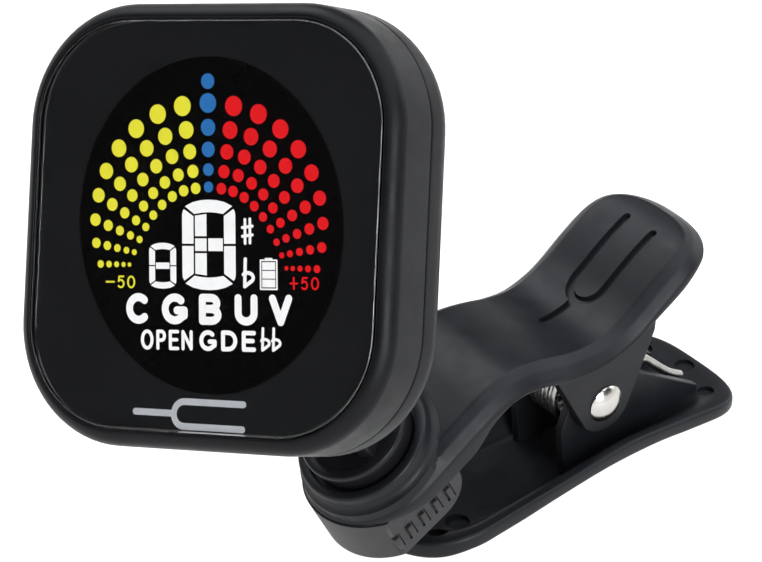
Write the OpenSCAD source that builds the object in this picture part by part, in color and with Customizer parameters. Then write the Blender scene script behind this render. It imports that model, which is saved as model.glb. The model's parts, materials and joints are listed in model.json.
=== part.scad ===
// Clip-on tuner: a square display head on a two-hinge arm, a turntable and a sprung clip.
// Frame: origin where the closed jaws grip, X across the clip, Y back to the finger levers, Z up.
// The display faces -Y, turned and tilted by the arm's pose below.

/* [Head] */
// Width and height of the flat front panel
panel_w = 44; // [40:0.5:50]
// Corner radius of the front panel
panel_r = 11.4; // [9:0.1:13]
// Border of the case outside the panel
case_border = 1.9; // [1.5:0.1:3]
// Depth of the head, front face to back face
head_d = 12; // [12:0.5:14]
// Depth of the parting line between the two case halves
seam_d = 7; // [6.8:0.1:7.4]
// Wall thickness of the case
case_wall = 1.6; // [1.4:0.1:1.8]
// Half width of the oval display window
window_rx = 16.9; // [14:0.1:18]
// Half height of the oval display window
window_ry = 17.8; // [14:0.1:18.5]

/* [Arm] */
// Turn of the head about the turntable
swivel_angle = 28.35; // [-60:0.1:60]
// Lean of the arm away from the swivel axis
arm_lean = -12.3; // [-15:0.1:15]
// Tilt of the head against the arm
head_tilt = 39.2; // [0:0.1:60]
// Distance between the arm's two hinge pins
arm_len = 13.4; // [12:0.5:16]
// Radius of the hinge pins
pin_r = 1; // [0.8:0.05:1.2]
// Height of the lower hinge pin over the turntable's face
low_hinge_h = 5; // [4.6:0.1:6]

/* [Clip] */
// Full width of the upper jaw
jaw_w = 18.8; // [17:0.1:20]
// Radius of the upper jaw's round front end
nose_r = 9.4; // [9:0.1:10]
// Forward slope of the boss that carries the turntable
boss_slope = 34.6; // [28:0.1:36]
// Radius of the turntable
table_r = 6.56; // [6:0.01:7]
// Radius of the boss lip around the turntable
lip_r = 8.1; // [7.8:0.05:8.4]
// Full width of the lower jaw
tray_w = 19; // [18:0.1:20]
// Radius of the clip's pivot pin
pivot_r = 1.5; // [1.2:0.05:1.8]
// Diameter of the spring wire
wire_d = 1.1; // [0.9:0.05:1.3]
// Turns of the spring
spring_turns = 4; // [3:1:5]

/* [Pad] */
// Width of the rubber pad
pad_w = 15.2; // [14:0.1:16]
// Depth of the pad's gripping face under the turntable's face
pad_d = 13.6; // [13.2:0.1:14]
// Forward slope of the pad
pad_slope = 27; // [25:0.5:29]
// Number of grip ribs on each side of the pad
rib_count = 5; // [3:1:6]
// Spacing of the grip ribs
rib_pitch = 2.05; // [1.8:0.05:2.2]

/* [Hidden] */
$fn = 64;

// Places in the part's frame
table_pos = [0, -6, 15.4];
pivot_pos = [0, 26.5, 8];

// Head, measured back from the panel's front face (head frame: x right, y up, z out of the face)
case_w = panel_w + 2 * case_border;
case_r = panel_r + case_border;
front_round = 2.1;
back_round = 3.2;
panel_t = 1.2;
mask_t = 0.15;
window_at = [0.93, -0.2];
badge_at = [-0.7, -20];
badge_scale = 1.2;
fork_w = 0.6;
ledge_z = 1.9;
hinge_up = [0, -10.5, -17];
board_z = -5.8;
board_t = 1;
board_w = 41;
post_at = 16.9;
post_r = 2;
thread_r = 0.8;
screw_sink = 0.35;
lcd_front = -1.45;
lcd_w = 36;
lcd_h = 37;
lcd_cut = 20.7;
button_y = 13.5;
button_x = 9.5;
button_r = 2.6;
button_proud = 0.5;
button_gap = 0.4;
switch_top = -7.5;
usb_y = 3;
usb_w = 9;
usb_t = 3.2;
usb_len = 7.3;
battery_box = [22, 13, 2.8];
battery_at = [3, 2.4];
tape_box = [18, 9, 0.25];
piezo_r = 7.5;
piezo_at = [0, -11.5];
ceramic_r = 5.2;
// Chips on the board: [x, y, width, length, height]
chips = [[-12, -7, 7, 7, 1], [13, -4, 4.4, 3.8, 0.9], [14, -10.5, 2.2, 5, 0.6]];
small_chip = [0.8, 1.6, 0.5];
// Runs of the leads, side views in the head frame: [y or x, z]
battery_run = [[14, -9], [15.2, -9], [16.4, -8.2], [16.6, -6.8], [16.6, -5.8]];
piezo_run = [[-10, -9.98], [-10, -9.4], [-8.8, -8], [-7.8, -7], [-7.8, -5.8]];

// Hinges: ears outside, a knuckle between them, a washer on each side of the knuckle
ear_in = 2.05;
ear_out = 4.1;
ear_r = 3.5;
knuckle_r = 3.2;
knuckle_w = 3.2;
washer_t = 0.35;
running = 0.05;
pin_head_over = 0.7;
pin_head_t = 0.6;

// Clip
lip_drop = 2.2;
plate_drop = 4.3;
well_r = 6.9;
well_drop = 3.4;
screw_r = 1.3;
screw_head_r = 2.7;
screw_head_t = 1.5;
screw_len = 7.5;
bore_depth = 5.6;
plate_ear_in = 5.05;
plate_ear_out = 6.6;
tray_ear_in = 3.55;
tray_ear_out = 4.75;
ear_round = 3.9;
pad_r = 9.25;
pad_mid = 0.5;
pad_back = 5.3;
pad_heel = 3.8;
rib_start = -5.25;
rib_up = 2.35;
lever_end = 42.2;
lever_corner = 8;
lever_power = 2.6;
pivot_head_r = 2.37;
coil_r = 4.2;
spring_pitch = 1.25;
// Where each leg of the spring bears: [y, z] measured from the pivot
upper_leg = [7.9, 10.1];
lower_leg = [9.8, -0.2];

// Side outline of the upper jaw's ears, over their round ends: [y, z]
plate_ear_side = [[17.2, 16.6], [23.4, 5.9], [29.9, 6], [32.2, 11.3], [33.8, 14], [34.4, 20.6]];
// What of the ears may stand under the plate: [y, z]
under_plate = [[0, 0], [50, 0], [50, 24], [34.4, 21.8], [28, 18.5], [23, 17], [18, 17.2], [0, 17]];
// Side outline of the lower jaw's ears: [y, z]
tray_ear_side = [
  [22, -2.2], [21.4, 5], [23, 9.2], [26.6, 11.4], [30.2, 10.4], [33.7, 8.2], [42.9, 2.4], [42.6, 1.2],
  [39.5, 0.6], [36.5, -0.6], [33.5, -1.7], [30, -2.2]
];
// Side profile of the upper jaw: [y, top, underside]
plate_stations = [
  [-11.5, 6.5, 4.8], [-6, 10.2, 7], [-0.7, 13.6, 9.1], [2.2, 15.5, 10.8], [5, 17.2, 12.6],
  [7.4, 18.5, 15.3], [10.9, 19.6, 17.1], [13.8, 19.6, 17.1], [16.8, 19.1, 16.4],
  [19.8, 18.4, 16], [22.9, 18.1, 15.9], [25.9, 18.7, 16.5], [28.9, 20.3, 17.7],
  [31.9, 22.5, 19.4], [34.9, 24.5, 21.2], [37.9, 25.9, 23], [42.2, 26.5, 24.6]
];
// The upper jaw's bevelled sides: [inset from the side, depth under the top]
bevel_steps = [[0, 1.6], [1.1, 0.7], [2.2, 0]];
// Side profile of the lower jaw: [y, crest of the rim, underside of the rim, floor]
tray_stations = [
  [-2.3, -0.5, -2.7, -1.3], [1, -0.2, -2.5, -1.3], [4.5, 0.4, -1.7, -1.3], [8, 0.85, -1.2, -1.4],
  [12, 1.3, -0.75, -1.5], [16, 1.75, -0.15, -1.6], [20, 2.15, 0.4, -1.6], [24, 2.65, 0.85, -1.6],
  [28, 3, 1.05, -1.6], [32, 2.9, 1.05, -1.4], [34.5, 2.7, 0.9, -0.7], [37, 2.5, 0.65, 0.5],
  [40, 2.3, 0.4, 1.4], [44, 1.9, 0.1, 1.6], [47.3, 1.5, -0.1, 1.4]
];
tray_nose_y = 7.2;
tray_tail_y = 40.5;
tray_tail_power = 3.2;
tray_t = 1.1;
rim_w = 1.2;
rim_round = 0.8;
slope_w = 3.3;
// Where the lower jaw is cut across, and how far out along each cut, as a share of its half width
tray_cuts = [
  -2.28, -2.15, -1.85, -1.35, -0.6, 0.7, 2.3, 4.2, 6.4, 9, 12, 15, 18, 21, 24, 27, 30, 32.4, 34.2, 36, 38,
  40, 42, 43.6, 44.8, 45.8, 46.5, 46.9, 47.15, 47.26
];
tray_shares = [1, 0.985, 0.95, 0.905, 0.85, 0.75, 0.64, 0.53, 0.27];
// Round pockets sunk into the lower jaw, one on each side: [x, y, floor, radius]
tray_pockets = [[4.1, 6.3, -1.9, 1.5], [4.9, 2.6, -1.8, 1.4], [5.6, 43.4, 1.2, 1.05]];
end_pocket = [0, 45, 1.2, 1.25];

// A smooth curve through a list of points, with n steps between neighbours
function blend_at(a, b, c, d, t) =
  0.5 * (2 * b + (c - a) * t + (2 * a - 5 * b + 4 * c - d) * t * t
         + (3 * b - a - 3 * c + d) * t * t * t);
function smooth(p, n) = [
  for (i = [0 : len(p) - 2], k = [0 : n - 1])
    blend_at(p[max(i - 1, 0)], p[i], p[i + 1], p[min(i + 2, len(p) - 1)], k / n),
  p[len(p) - 1]
];
// The closed outline between the second and third columns of a list of stations
function outline(p) = concat(
  [for (q = p) [q[0], q[1]]],
  [for (i = [len(p) - 1 : -1 : 0]) [p[i][0], p[i][2]]]
);

module along_x(w) { rotate([90, 0, 90]) linear_extrude(w, center = true) children(); }

// Frames: the boss's slope, the turntable's turn, the arm's lean and the head's tilt
module at_boss() { translate(table_pos) rotate([boss_slope, 0, 0]) children(); }
module at_swivel() { at_boss() rotate([0, 0, swivel_angle]) children(); }
module at_arm() { at_swivel() translate([0, 0, low_hinge_h]) rotate([arm_lean, 0, 0]) children(); }
module at_head() {
  at_arm() translate([0, 0, arm_len]) rotate([head_tilt, 0, 0]) translate(-hinge_up) children();
}
module at_pivot() { translate(pivot_pos) rotate([0, 90, 0]) children(); }

// A square with round corners, w across
module round_square(w, r) {
  square([w, w - 2 * r], center = true);
  square([w - 2 * r, w], center = true);
  for (x = [-1, 1], y = [-1, 1]) translate([x, y] * (w / 2 - r)) circle(r);
}
module oval(rx, ry) {
  polygon([for (a = [0 : 4 : 356]) [rx * cos(a), ry * sin(a)]]);
}
// The case as a solid between two depths, with its front and back edges rounded
module case_solid(low, high) {
  intersection() {
    hull() for (x = [-1, 1], y = [-1, 1]) translate([x, y, 0] * (case_w / 2 - case_r))
      rotate_extrude($fn = 32) case_corner();
    translate([0, 0, (low + high) / 2]) cube([case_w + 2, case_w + 2, high - low], center = true);
  }
}
module case_corner() {
  polygon(concat(
    [[0, -head_d]],
    [for (a = [-90 : 15 : 0])
      [case_r - back_round + back_round * cos(a), -head_d + back_round + back_round * sin(a)]],
    [for (a = [0 : 18 : 90])
      [case_r - front_round + front_round * cos(a), -front_round + front_round * sin(a)]],
    [[0, 0]]
  ));
}
module at_posts() {
  for (x = [-1, 1], y = [-1, 1]) translate([x * post_at, y * post_at, 0]) children();
}
module usb_slot() {
  translate([-case_w / 2, usb_y, board_z - usb_t / 2])
    cube([6, usb_w + 0.2, usb_t + 0.2], center = true);
}

module front_shell() color("#1b1d20") at_head() difference() {
  union() {
    difference() {
      case_solid(-seam_d, 0);
      translate([0, 0, -seam_d - 1]) linear_extrude(seam_d + 1 - ledge_z)
        round_square(case_w - 2 * case_wall, case_r - case_wall);
    }
    at_posts() translate([0, 0, -seam_d]) cylinder(r = post_r, h = seam_d - panel_t - 0.5);
  }
  translate([0, 0, -panel_t - mask_t]) linear_extrude(panel_t + mask_t + 1)
    round_square(panel_w + 0.2, panel_r + 0.1);
  translate([0, 0, -ledge_z - 1]) linear_extrude(ledge_z) lcd_plan(0.3);
  at_posts() translate([0, 0, -seam_d - 1]) cylinder(r = thread_r, h = 5);
  usb_slot();
}

module rear_shell() color("#17191c") at_head() {
  difference() {
    union() {
      difference() {
        case_solid(-head_d, -seam_d);
        translate([0, 0, -head_d + case_wall]) linear_extrude(head_d)
          round_square(case_w - 2 * case_wall, case_r - case_wall);
      }
      at_posts() translate([0, 0, -head_d + 0.5]) cylinder(r = post_r + 0.6, h = head_d - seam_d - 0.5);
      head_ears();
    }
    at_posts() translate([0, 0, -head_d - 1]) cylinder(r = 1.1, h = head_d);
    at_posts() translate([0, 0, -head_d - 1]) cylinder(r = 2, h = 2.6);
    for (x = [-1, 0, 1]) translate([x * button_x, button_y, -head_d - 1]) cylinder(r = button_r + 0.15, h = 4);
    usb_slot();
    translate(hinge_up) rotate([0, 90, 0]) cylinder(r = pin_r, h = 20, center = true);
  }
}
module head_ears() {
  for (s = [-1, 1]) translate([s * (ear_in + ear_out) / 2, 0, 0]) {
    translate(hinge_up) rotate([0, 90, 0]) cylinder(r = ear_r, h = ear_out - ear_in, center = true);
    translate([0, hinge_up[1], (hinge_up[2] - head_d) / 2 + 0.3])
      cube([ear_out - ear_in, 2 * ear_r, -hinge_up[2] - head_d + 0.6], center = true);
  }
}

module front_panel() color("#15161a") at_head()
  translate([0, 0, -panel_t]) linear_extrude(panel_t) round_square(panel_w, panel_r);

module panel_mask() color("#222327") at_head() translate([0, 0, -panel_t - mask_t])
  linear_extrude(mask_t) difference() {
    round_square(panel_w, panel_r);
    translate(window_at) oval(window_rx, window_ry);
    translate(badge_at) scale(badge_scale) tuning_fork(fork_w);
  }

// The display's outline, grown all round, with its corners cut clear of the screw posts
module lcd_plan(grow) {
  intersection() {
    square([lcd_w + 2 * grow, lcd_h + 2 * grow], center = true);
    rotate(45) square(2 * (lcd_cut + 0.6 * grow), center = true);
  }
}
module lcd_cell() color("#0b0a12") at_head()
  translate([0, 0, lcd_front - 1.9]) linear_extrude(1.9) lcd_plan(0);

module lcd_frame() color("#e6e6e0") at_head()
  translate([0, 0, lcd_front - 3.1]) linear_extrude(2.2) difference() {
    lcd_plan(1.6);
    lcd_plan(0.2);
  }

module backlight() color("#f4f6f8") at_head()
  translate([0, 0, lcd_front - 3.1]) linear_extrude(1.1) lcd_plan(0);

// The ribbon that joins the display to the board, bent over the lower edge of the frame
module lcd_ribbon() color("#c07a2c") at_head() along_x(14) polygon([
  [-18.5, -2.1], [-20.8, -2.1], [-21, -2.3], [-21, -5.8], [-20.8, -6], [-19, -6],
  [-19, -5.8], [-20.75, -5.8], [-20.8, -5.75], [-20.8, -2.35], [-20.75, -2.3], [-18.5, -2.3]
]);

module circuit_board() color("#1f6b3a") at_head() translate([0, 0, board_z]) difference() {
  linear_extrude(board_t) difference() {
    round_square(board_w, 9.6);
    at_posts() circle(post_r + 0.3);
  }
}

module board_chips() color("#26282b") at_head() translate([0, 0, board_z]) {
  for (c = chips) translate([c[0], c[1], -c[4] / 2]) cube([c[2], c[3], c[4]], center = true);
  for (i = [0 : 4]) translate([-16.5 + 2 * i, -13.5, -small_chip[2] / 2]) cube(small_chip, center = true);
}

module tact_switches() color("#b9bcc0") at_head()
  for (x = [-1, 0, 1]) translate([x * button_x, button_y, board_z]) {
    translate([0, 0, -1]) linear_extrude(1) square(4.2, center = true);
    translate([0, 0, switch_top - board_z]) cylinder(r = 1.1, h = 0.8);
  }

module usb_socket() color("#c9ccd0") at_head()
  translate([-case_w / 2 + 1.0, usb_y, board_z - usb_t / 2]) rotate([90, 0, 90]) difference() {
    linear_extrude(usb_len) pill(usb_w - 0.1, usb_t - 0.05);
    translate([0, 0, -1]) linear_extrude(usb_len - 0.6) difference() {
      pill(usb_w - 0.7, usb_t - 0.65);
      square([6.7, 0.7], center = true);
    }
  }
module pill(w, t) {
  square([w - t, t], center = true);
  for (s = [-1, 1]) translate([s * (w - t) / 2, 0]) circle(d = t);
}

module battery_cell() color("#c8cacd") at_head()
  translate([battery_at[0], battery_at[1], -head_d + case_wall + tape_box[2] + battery_box[2] / 2])
    cube(battery_box, center = true);

module battery_tape() color("#2a2a2a") at_head()
  translate([battery_at[0], battery_at[1], -head_d + case_wall + tape_box[2] / 2])
    cube(tape_box, center = true);

// A round wire swept along a list of points; across is a direction that the path never follows
module wire(p, d, across) {
  sides = 12;
  last = len(p) - 1;
  rings = [for (i = [0 : last])
    let (t = unit(p[min(i + 1, last)] - p[max(i - 1, 0)]), b = unit(cross(t, across)), n = cross(b, t))
    for (k = [0 : sides - 1]) p[i] + d / 2 * (cos(360 * k / sides) * n + sin(360 * k / sides) * b)];
  polyhedron(rings, concat(
    [[for (k = [0 : sides - 1]) k]],
    [for (i = [0 : last - 1], k = [0 : sides - 1])
      [i * sides + k, (i + 1) * sides + k, (i + 1) * sides + (k + 1) % sides, i * sides + (k + 1) % sides]],
    [[for (k = [sides - 1 : -1 : 0]) last * sides + k]]
  ), convexity = 8);
}
function unit(v) = v / norm(v);

module battery_leads() color("#b3262a") at_head() for (y = [1, 3.4])
  wire(smooth([for (q = battery_run) [q[0], y, q[1]]], 4), 0.8, [0, 1, 0]);

module piezo_disc() color("#c9a227") at_head()
  translate([piezo_at[0], piezo_at[1], -head_d + case_wall]) {
    cylinder(r = piezo_r, h = 0.2);
    cylinder(r = ceramic_r, h = 0.42);
  }

module piezo_leads() color("#3a3a3a") at_head() for (x = [-1.5, 1.5])
  wire(smooth([for (q = piezo_run) [x, q[0], q[1]]], 4), 0.6, [1, 0, 0]);

module badge_inlay() color("#b9bbbe") at_head() translate([badge_at[0], badge_at[1], -panel_t - mask_t])
  linear_extrude(mask_t) scale(badge_scale) tuning_fork(fork_w);
// A tuning fork laid on its side, two prongs and a stem
module tuning_fork(w) {
  for (s = [-1, 1]) translate([2.4, s * 1.1]) square([6.4, w], center = true);
  translate([-0.8, 0]) difference() {
    circle(1.1 + w / 2);
    circle(1.1 - w / 2);
    translate([0, -3]) square([3, 6]);
  }
  translate([-3.9, 0]) square([4.2, w], center = true);
}

module case_screws() color("#8d9096") at_head() at_posts()
  translate([0, 0, -head_d + screw_sink]) difference() {
    union() {
      cylinder(r = 1.85, h = 1.2);
      cylinder(r = thread_r, h = 7.5);
    }
    for (a = [0, 90]) rotate(a) translate([0, 0, 0.2]) cube([2.2, 0.4, 0.9], center = true);
  }

module back_button(i) {
  at_head() translate([i * button_x, button_y, 0]) {
    translate([0, 0, -head_d - button_proud]) cylinder(r = button_r, h = button_proud + case_wall + 0.1);
    translate([0, 0, -head_d + case_wall + 0.1]) cylinder(r = button_r + 0.7, h = 0.8);
    translate([0, 0, -head_d + case_wall]) cylinder(r = 1.2, h = switch_top - button_gap + head_d - case_wall);
  }
}
module power_button() color("#2a2c30") back_button(-1);
module mode_button() color("#2a2c30") back_button(0);
module pitch_button() color("#2a2c30") back_button(1);

// A hinge pin: a plain shaft with a head outside one ear and a crimped end outside the other
module hinge_pin() rotate([0, 90, 0]) {
  cylinder(r = pin_r, h = 2 * ear_out, center = true);
  for (s = [-1, 1]) translate([0, 0, s * (ear_out + pin_head_t / 2)])
    cylinder(r = pin_r + pin_head_over, h = pin_head_t, center = true);
}
module upper_hinge_pin() color("#b4b7bb") at_head() translate(hinge_up) hinge_pin();
module lower_hinge_pin() color("#b4b7bb") at_swivel() translate([0, 0, low_hinge_h]) hinge_pin();

module hinge_washers() color("#8f7a4a") at_arm() for (z = [0, arm_len], s = [-1, 1])
  translate([s * (knuckle_w / 2 + washer_t / 2), 0, z]) rotate([0, 90, 0]) difference() {
    cylinder(r = knuckle_r - 0.6, h = washer_t, center = true);
    cylinder(r = pin_r + running, h = 2, center = true);
  }

module link_arm() color("#191b1e") at_arm() difference() {
  union() {
    for (z = [0, arm_len]) translate([0, 0, z]) rotate([0, 90, 0]) cylinder(r = knuckle_r, h = knuckle_w, center = true);
    translate([0, 0, arm_len / 2]) cube([knuckle_w, 4.4, arm_len], center = true);
    translate([0, 0, arm_len / 2]) cube([5.6, 3.4, 5.2], center = true);
  }
  for (z = [0, arm_len]) translate([0, 0, z]) rotate([0, 90, 0]) cylinder(r = pin_r + running, h = 20, center = true);
}

module swivel_base() color("#1a1c1f") at_swivel() difference() {
  union() {
    translate([0, 0, -well_drop + 0.1]) cylinder(r = table_r - 0.25, h = well_drop - 0.1);
    translate([0, 0, -0.8]) cylinder(r = table_r, h = 0.8);
    for (s = [-1, 1]) translate([s * (ear_in + ear_out) / 2, 0, 0]) {
      translate([0, 0, low_hinge_h]) rotate([0, 90, 0]) cylinder(r = ear_r, h = ear_out - ear_in, center = true);
      translate([0, 0, (low_hinge_h - 0.6) / 2]) cube([ear_out - ear_in, 2 * ear_r, low_hinge_h + 0.6], center = true);
    }
  }
  translate([0, 0, low_hinge_h]) rotate([0, 90, 0]) cylinder(r = pin_r, h = 20, center = true);
  translate([0, 0, low_hinge_h]) rotate([0, 90, 0]) cylinder(r = knuckle_r + 0.25, h = 2 * ear_in, center = true);
  translate([0, 0, -well_drop - 1]) cylinder(r = screw_r, h = 3.6);
}

module swivel_screw() color("#9a9da2") at_swivel() difference() {
  union() {
    translate([0, 0, -screw_len]) cylinder(r = screw_head_r, h = screw_head_t);
    translate([0, 0, -screw_len + 0.5]) cylinder(r = screw_r, h = screw_len - well_drop + 1.9);
  }
  for (a = [0, 90]) rotate(a) translate([0, 0, -screw_len + 0.2]) cube([3, 0.6, 1.4], center = true);
}

module swivel_washer() color("#a8abb0") at_boss() translate([0, 0, -bore_depth - washer_t]) difference() {
  cylinder(r = screw_head_r + 0.6, h = washer_t);
  translate([0, 0, -1]) cylinder(r = screw_r + 0.2, h = 3);
}

// The outline of the upper jaw seen square to its boss, from the round nose back
module nose_plan(inset) {
  circle(nose_r - inset);
  translate([inset - jaw_w / 2, 0]) square([jaw_w - 2 * inset, 80]);
}
// The lever's end seen from above, a flattened round end
module lever_plan(inset) {
  w = jaw_w / 2 - inset;
  reach = lever_corner - inset;
  share = 2 / lever_power;
  end = [for (a = [0 : 6 : 90]) [w * pow(cos(a), share), lever_end - lever_corner + reach * pow(sin(a), share)]];
  polygon(concat([[-w, -30], [w, -30]], end, [for (i = [len(end) - 2 : -1 : 0]) [-end[i][0], end[i][1]]]));
}
module plate_solid() {
  for (b = bevel_steps) intersection() {
    along_x(jaw_w + 4) polygon(outline([for (q = smooth(plate_stations, 4)) [q[0], q[1] - b[1], q[2]]]));
    at_boss() translate([0, 0, -40]) linear_extrude(90) nose_plan(b[0]);
    translate([0, 0, -10]) linear_extrude(50) lever_plan(b[0]);
  }
}
module plate_ears() {
  for (s = [-1, 1]) translate([s * (plate_ear_in + plate_ear_out) / 2, 0, 0]) {
    at_pivot() cylinder(r = ear_round, h = plate_ear_out - plate_ear_in, center = true);
    along_x(plate_ear_out - plate_ear_in) polygon(plate_ear_side);
  }
}
module upper_jaw() color("#1c1e21") difference() {
  union() {
    plate_solid();
    at_boss() translate([0, 0, -plate_drop - 1.5]) cylinder(r = lip_r, h = plate_drop + 1.5 - lip_drop);
    intersection() {
      plate_ears();
      along_x(jaw_w) polygon(under_plate);
    }
  }
  at_boss() {
    translate([0, 0, -well_drop]) cylinder(r = well_r, h = 30);
    translate([0, 0, -12]) cylinder(r = screw_r + 0.15, h = 12);
    translate([0, 0, -12]) cylinder(r = screw_head_r + 0.9, h = 12 - bore_depth);
  }
  at_pivot() cylinder(r = pivot_r + running, h = 40, center = true);
}

// The rubber pad: a round front, flat ribbed sides and a rounded lower edge at the back
module at_pad() { translate(table_pos) rotate([pad_slope, 0, 0]) translate([0, pad_mid, 0]) children(); }
module pad_plan() {
  intersection() {
    union() {
      circle(pad_r);
      translate([-pad_w / 2, 0]) square([pad_w, pad_back]);
    }
    translate([-pad_w / 2, -pad_r]) square([pad_w, pad_r + pad_back]);
  }
}
module upper_pad() color("#101113") difference() {
  at_pad() {
    difference() {
      translate([0, 0, -pad_d]) linear_extrude(pad_d) pad_plan();
      translate([0, pad_back - pad_heel, -pad_d + pad_heel]) rotate([0, 90, 0]) difference() {
        translate([0, 0, -pad_w]) linear_extrude(2 * pad_w) square(pad_heel + 1);
        cylinder(r = pad_heel, h = 3 * pad_w, center = true);
      }
    }
    for (s = [-1, 1], i = [0 : rib_count - 1])
      translate([s * pad_w / 2, rib_start + rib_pitch * i, -pad_d + rib_up]) cube([0.8, 0.75, 1.9], center = true);
  }
  at_boss() translate([0, 0, -8.2]) cylinder(r = 3.5, h = 9);
  space_over_jaw();
}
// Everything above the upper jaw's underside, which the pad stops at
module space_over_jaw() {
  under = [for (q = smooth(plate_stations, 4)) if (q[0] < 12) [q[0], q[2]]];
  along_x(40) polygon(concat(under, [[12, 60], [-30, 60], [-30, under[0][1] - 14]]));
}

module pivot_pin() color("#d8dade") at_pivot() {
  cylinder(r = pivot_r, h = 2 * plate_ear_out + 0.3, center = true);
  for (s = [0, 1]) mirror([0, 0, s]) translate([0, 0, plate_ear_out + 0.1]) intersection() {
    translate([0, 0, -2.4]) sphere(r = 3.38);
    cylinder(r = pivot_head_r, h = 2);
  }
}

// Torsion spring: a close coil round the pivot pin, with one leg to each lever
function turn_at(a, x) = [x, pivot_pos[1] + coil_r * cos(a), pivot_pos[2] + coil_r * sin(a)];
function leg_at(q, x) = [x, pivot_pos[1] + q[0], pivot_pos[2] + q[1]];
module torsion_spring() color("#c4c7cb") {
  low = atan2(lower_leg[1], lower_leg[0]) + acos(coil_r / norm(lower_leg));
  high = atan2(upper_leg[1], upper_leg[0]) - acos(coil_r / norm(upper_leg)) + 360 * spring_turns;
  side = spring_pitch * (high - low) / 720;
  steps = 22 * spring_turns;
  wire(concat(
    smooth([leg_at([15.6, -5.1], side), leg_at([13.3, -3.6], side), leg_at(lower_leg, side)], 3),
    [for (i = [0 : steps]) turn_at(low + (high - low) * i / steps, side * (1 - 2 * i / steps))],
    [leg_at(upper_leg * 0.7 + [1.1, -0.6], -side), leg_at(upper_leg, -side)]
  ), wire_d, [1, 0, 0]);
}

// Half width of the lower jaw at y, and how far a point lies in from its outline
function tray_end() = tray_stations[len(tray_stations) - 1][0];
function tray_half(y) =
  y < tray_nose_y ? sqrt(pow(tray_w / 2, 2) - pow(tray_nose_y - y, 2)) :
  y > tray_tail_y ? tray_w / 2 * pow(1 - pow((y - tray_tail_y) / (tray_end() - tray_tail_y), tray_tail_power),
                                     1 / tray_tail_power) :
  tray_w / 2;
function tray_inset(x, y) =
  y < tray_nose_y ? tray_w / 2 - norm([x, tray_nose_y - y]) :
  y > tray_tail_y ? tray_w / 2 * (1 - pow(pow((y - tray_tail_y) / (tray_end() - tray_tail_y), tray_tail_power)
                                          + pow(abs(x) * 2 / tray_w, tray_tail_power), 1 / tray_tail_power)) :
  tray_w / 2 - abs(x);
function ease(t) = let (c = max(0, min(1, t))) c * c * (3 - 2 * c);
// One point of the lower jaw's skin, top or underside, at x across the cut at y
function tray_skin(x, y, z, top) =
  let (e = max(0, tray_inset(x, y)), edge = e < rim_round ? 1 - sqrt(1 - pow(1 - e / rim_round, 2)) : 0,
       half_t = (z[0] - z[1]) / 2, dip = ease((e - rim_w) / slope_w))
  [x, y, top ? z[0] - edge * half_t - dip * (z[0] - z[2]) : z[1] + edge * half_t - dip * (z[1] - z[2] + tray_t)];
module tray_dish() {
  side = [for (i = [1 : 3]) [for (q = smooth(tray_stations, 3)) [q[0], q[i]]]];
  across = concat(-tray_shares, [0], [for (i = [len(tray_shares) - 1 : -1 : 0]) tray_shares[i]]);
  wide = len(across);
  ring = 2 * wide - 2;
  last = len(tray_cuts) - 1;
  skin = [for (y = tray_cuts) let (h = tray_half(y), z = [for (c = side) lookup(y, c)]) each concat(
    [for (f = across) tray_skin(f * h, y, z, true)],
    [for (i = [wide - 2 : -1 : 1]) tray_skin(across[i] * h, y, z, false)]
  )];
  polyhedron(skin, concat(
    [[for (k = [0 : ring - 1]) k]],
    [for (i = [0 : last - 1], k = [0 : ring - 1])
      [i * ring + k, (i + 1) * ring + k, (i + 1) * ring + (k + 1) % ring, i * ring + (k + 1) % ring]],
    [[for (k = [ring - 1 : -1 : 0]) last * ring + k]]
  ), convexity = 8);
}
module tray_ears() {
  for (s = [-1, 1]) translate([s * (tray_ear_in + tray_ear_out) / 2, 0, 0]) {
    at_pivot() cylinder(r = 3.2, h = tray_ear_out - tray_ear_in, center = true);
    along_x(tray_ear_out - tray_ear_in) polygon(tray_ear_side);
  }
}
module pocket(at, r) { translate(at) cylinder(r = r, h = 3); }
module lower_jaw() color("#1a1c1f") difference() {
  union() {
    tray_dish();
    tray_ears();
  }
  at_pivot() cylinder(r = pivot_r, h = 40, center = true);
  for (q = tray_pockets, s = [-1, 1]) pocket([s * q[0], q[1], q[2]], q[3]);
  pocket([end_pocket[0], end_pocket[1], end_pocket[2]], end_pocket[3]);
}

front_shell();
rear_shell();
front_panel();
panel_mask();
badge_inlay();
lcd_cell();
lcd_frame();
backlight();
lcd_ribbon();
circuit_board();
board_chips();
tact_switches();
usb_socket();
battery_cell();
battery_tape();
battery_leads();
piezo_disc();
piezo_leads();
case_screws();
power_button();
mode_button();
pitch_button();
upper_hinge_pin();
hinge_washers();
link_arm();
lower_hinge_pin();
swivel_base();
swivel_screw();
swivel_washer();
upper_jaw();
upper_pad();
pivot_pin();
torsion_spring();
lower_jaw();
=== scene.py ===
"""Looks of the clip-on tuner: finished shells, display, materials, floor, light and camera."""
import json
import math

import bmesh
import bpy
from mathutils import Matrix, Vector


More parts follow.
